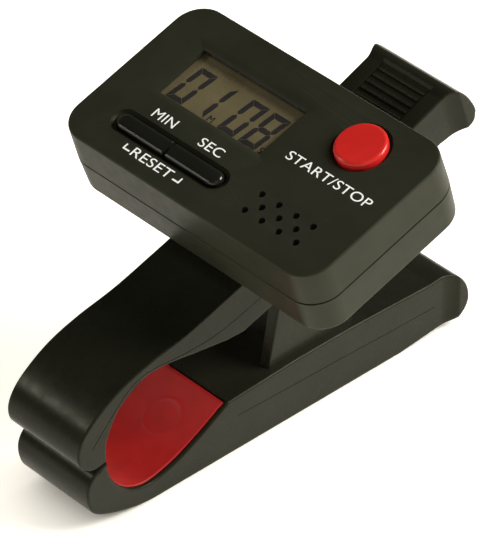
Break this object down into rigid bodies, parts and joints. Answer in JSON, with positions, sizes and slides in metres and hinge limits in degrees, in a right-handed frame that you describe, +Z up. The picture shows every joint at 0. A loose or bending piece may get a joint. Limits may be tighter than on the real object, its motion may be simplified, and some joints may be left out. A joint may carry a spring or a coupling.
{
  "type": "clip-on countdown timer",
  "caption": "Clip-on digital countdown timer: rectangular LCD head with push buttons, swivelling on a two-armed spring clamp with padded jaws.",
  "frame": {"origin": "on the surface it stands on, under the pivot pin, at mid width", "axes": "+Z up, +X along the pivot pin towards the START/STOP side, +Y from the jaws to the finger grips"},
  "size_m": [0.0704, 0.1018, 0.0678],
  "materials": {
    "case_plastic": "fine satin moulded ABS, black",
    "arm_plastic": "smooth semi-gloss moulded ABS, black",
    "button_plastic": "gloss black moulded plastic",
    "red_button_plastic": "gloss red moulded plastic",
    "red_pad_rubber": "satin red thermoplastic rubber",
    "lcd_glass": "grey-brown reflective LCD behind a satin polariser",
    "elastomer": "layered conductive silicone",
    "board_laminate": "glass-epoxy laminate with green solder mask",
    "chip_resin": "black potting resin",
    "buzzer_brass": "rolled brass disc",
    "steel": "nickel-plated steel",
    "spring_steel": "bright drawn spring wire"
  },
  "bodies": {
    "lower_arm": {"lower_arm": "arm_plastic", "lower_jaw_pad": "red_pad_rubber", "pivot_pin": "steel", "pin_clip": "steel", "torsion_spring": "spring_steel"},
    "upper_arm": {"upper_arm": "arm_plastic", "upper_jaw_pad": "red_pad_rubber", "swivel_washer": "steel"},
    "head": {"front_case": "case_plastic", "rear_case": "case_plastic", "lcd_panel": "lcd_glass", "zebra_strip": "elastomer", "circuit_board": "board_laminate", "controller_chip": "chip_resin", "buzzer": "buzzer_brass", "start_stop_dome": "steel", "min_dome": "steel", "sec_dome": "steel", "battery_cell": "steel", "battery_contact_negative": "steel", "battery_contact_positive": "steel", "case_screw_1": "steel", "case_screw_2": "steel", "case_screw_3": "steel", "case_screw_4": "steel", "board_screw_1": "steel", "board_screw_2": "steel", "swivel_screw": "steel"},
    "start_stop_button": {"start_stop_button": "red_button_plastic"},
    "min_button": {"min_button": "button_plastic"},
    "sec_button": {"sec_button": "button_plastic"},
    "battery_cap": {"battery_cap": "case_plastic"}
  },
  "joints": [
    {"name": "clamp_hinge", "type": "hinge", "parent": "lower_arm", "child": "upper_arm", "pos_m": [0, 0, 0.03325], "axis": [-1, 0, 0], "range_deg": [0, 32], "stiffness_Nm_per_rad": 0.35, "springref_deg": -34.38, "deforming": ["torsion_spring"]},
    {"name": "head_swivel", "type": "hinge", "parent": "upper_arm", "child": "head", "pos_m": [0, -0.00147, 0.04463], "axis": [0, -0.299, 0.9542], "range_deg": [-90, 90]},
    {"name": "start_stop_press", "type": "slide", "parent": "head", "child": "start_stop_button", "axis": [0, 0.299, -0.9542], "range_m": [0, 0.0008], "stiffness_N_per_m": 1200, "springref_m": -0.0004},
    {"name": "min_press", "type": "slide", "parent": "head", "child": "min_button", "axis": [0, 0.299, -0.9542], "range_m": [0, 0.0008], "stiffness_N_per_m": 1000, "springref_m": -0.0004},
    {"name": "sec_press", "type": "slide", "parent": "head", "child": "sec_button", "axis": [0, 0.299, -0.9542], "range_m": [0, 0.0008], "stiffness_N_per_m": 1000, "springref_m": -0.0004},
    {"name": "battery_cap_turn", "type": "hinge", "parent": "head", "child": "battery_cap", "pos_m": [0.021, -0.00237, 0.04749], "axis": [0, -0.299, 0.9542], "range_deg": [0, 60]}
  ]
}
